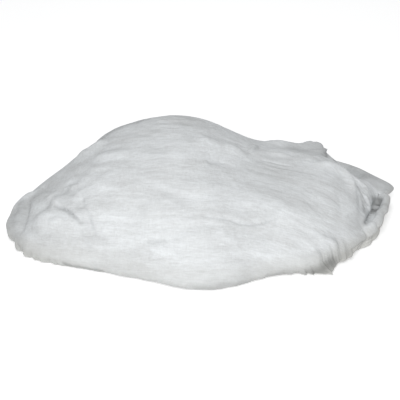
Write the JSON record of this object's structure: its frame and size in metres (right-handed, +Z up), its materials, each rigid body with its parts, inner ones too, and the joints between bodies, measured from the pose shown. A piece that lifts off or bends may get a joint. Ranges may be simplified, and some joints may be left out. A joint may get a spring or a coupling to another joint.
{
  "type": "bouffant cap",
  "caption": "Disposable bouffant cap of thin non-woven cloth with a gathered elastic hem, lying slack with its mouth down as a low, folded mound.",
  "frame": {"origin": "on the surface the cap lies on, under the middle of its length and depth", "axes": "+X along the cap's length to the end where the hem shows, +Y to the back, +Z up"},
  "size_m": [0.3251, 0.222, 0.0849],
  "materials": {
    "non_woven_cloth": "matt, thin spun-bonded non-woven",
    "elastic_hem": "matt, folded cloth over an elastic thread"
  },
  "bodies": {
    "root": {"crown": "non_woven_cloth", "elastic_hem": "elastic_hem"}
  },
  "joints": []
}
